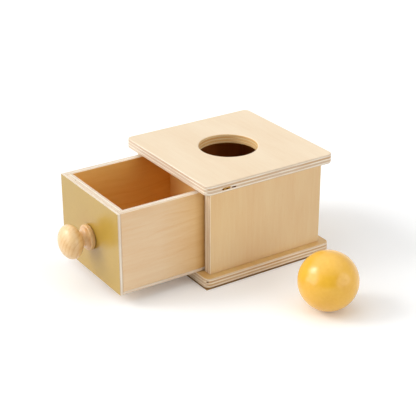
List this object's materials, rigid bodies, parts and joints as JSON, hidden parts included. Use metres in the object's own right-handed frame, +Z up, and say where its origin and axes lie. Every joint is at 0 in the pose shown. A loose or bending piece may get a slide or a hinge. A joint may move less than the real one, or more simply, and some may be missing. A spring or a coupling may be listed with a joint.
{
  "type": "object permanence box",
  "caption": "Square plywood box with a round drop hole in its top, a pull-out drawer with a turned knob below it, and a wooden ball that fits the hole.",
  "frame": {"origin": "centre of the base panel's underside, on the floor", "axes": "+Z up through the drop hole, +X to the right of someone who faces the drawer, -Y the way the drawer pulls out"},
  "size_m": [0.2155, 0.2129, 0.086],
  "materials": {
    "birch_ply": "sanded, clear matt lacquer",
    "drawer_ply": "sanded, clear matt lacquer",
    "painted_ply": "satin olive-gold paint on the front face, bare edges",
    "turned_birch": "glossy clear lacquer",
    "dowel_birch": "raw",
    "zinc_steel": "zinc plated",
    "yellow_ball": "smooth semi-gloss yellow lacquer"
  },
  "bodies": {
    "box": {"top_panel": "birch_ply", "base_panel": "birch_ply", "left_wall": "birch_ply", "right_wall": "birch_ply", "rear_wall": "birch_ply", "top_dowels": "dowel_birch", "rear_wall_dowels": "dowel_birch", "base_screws": "zinc_steel"},
    "drawer": {"drawer_facing": "painted_ply", "drawer_front": "drawer_ply", "drawer_left_side": "drawer_ply", "drawer_right_side": "drawer_ply", "drawer_back": "drawer_ply", "drawer_bottom": "drawer_ply", "drawer_brads": "zinc_steel", "knob": "turned_birch", "knob_screw": "zinc_steel"},
    "ball": {"ball": "yellow_ball"}
  },
  "joints": [
    {"name": "drawer_slide", "type": "slide", "parent": "box", "child": "drawer", "axis": [0, -1, 0], "range_m": [-0.07, 0.02]},
    {"name": "ball_lift", "type": "slide", "parent": "box", "child": "ball", "axis": [0, 0, 1], "range_m": [0, 0.1]}
  ]
}
